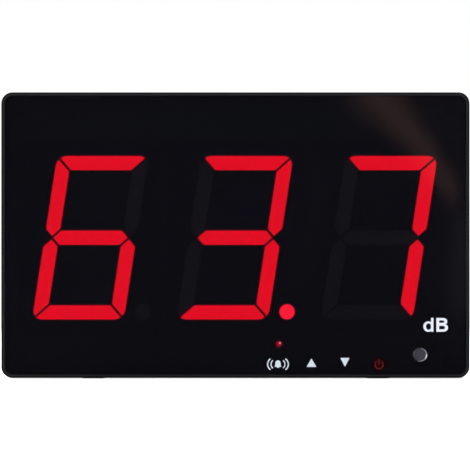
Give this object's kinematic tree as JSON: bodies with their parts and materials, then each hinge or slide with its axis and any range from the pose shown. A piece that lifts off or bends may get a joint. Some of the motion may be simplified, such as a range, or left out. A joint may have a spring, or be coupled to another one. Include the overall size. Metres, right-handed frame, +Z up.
{
  "type": "sound level meter",
  "caption": "Wall and desk sound level meter: landscape casing with a tinted gloss panel, large red LED digits, flush touch keys, microphone disc, fold-out stand and battery bay.",
  "frame": {"origin": "under the middle of the casing, on the surface that its feet stand on", "axes": "+X to the right as the display is read, the display faces -Y, +Z up"},
  "size_m": [0.2168, 0.03, 0.1325],
  "materials": {
    "casing_plastic": "fine moulded grain, satin",
    "tinted_panel": "polished, dark tint",
    "tape": "matt foam adhesive",
    "rubber": "matt",
    "steel": "bright zinc",
    "nickel": "nickel plated",
    "mesh_grey": "grey woven mesh",
    "display_black": "matt black face",
    "segment_red": "lit segment, even glow",
    "segment_dark": "unlit segment behind the tint",
    "led_red": "clear tinted resin dome",
    "legend_white": "white print",
    "legend_red": "dark red print",
    "foam": "conductive foam",
    "board": "green solder mask",
    "chip": "moulded epoxy",
    "ivory_plastic": "nylon connector",
    "cell_wrap": "plain shrink wrap"
  },
  "bodies": {
    "casing": {"front_case": "casing_plastic", "rear_cover": "casing_plastic", "stand_pin_left": "steel", "stand_pin_right": "steel", "foot_left": "rubber", "foot_right": "rubber", "case_screw_1": "steel", "case_screw_2": "steel", "case_screw_3": "steel", "case_screw_4": "steel", "front_panel": "tinted_panel", "panel_tape": "tape", "digit_1_housing": "display_black", "digit_2_housing": "display_black", "digit_3_housing": "display_black", "digit_1_diffuser": "segment_red", "digit_2_diffuser": "segment_red", "digit_3_diffuser": "segment_red", "alarm_led": "led_red", "microphone_mesh": "mesh_grey", "microphone_capsule": "nickel", "microphone_boot": "rubber", "touch_electrode_1": "foam", "touch_electrode_2": "foam", "touch_electrode_3": "foam", "touch_electrode_4": "foam", "main_board": "board", "board_screw_1": "steel", "board_screw_2": "steel", "board_screw_3": "steel", "board_screw_4": "steel", "microcontroller": "chip", "led_driver": "chip", "capacitor": "cell_wrap", "buzzer": "chip", "battery_connector": "ivory_plastic", "power_jack": "chip", "battery_cell_1": "cell_wrap", "battery_cell_2": "cell_wrap", "battery_cell_3": "cell_wrap", "battery_cell_4": "cell_wrap", "contact_positive": "nickel", "contact_negative": "nickel", "contact_bridge_1": "nickel", "contact_bridge_2": "nickel", "contact_bridge_3": "nickel"},
    "door": {"battery_door": "casing_plastic"},
    "stand": {"stand_leg": "casing_plastic"}
  },
  "joints": [
    {"name": "door_hinge", "type": "hinge", "parent": "casing", "child": "door", "pos_m": [0, 0.0137, 0.0627], "axis": [-1, 0, 0], "range_deg": [0, 85]},
    {"name": "stand_hinge", "type": "hinge", "parent": "casing", "child": "stand", "pos_m": [0, 0.0128, 0.057], "axis": [1, 0, 0], "range_deg": [0, 60]}
  ]
}
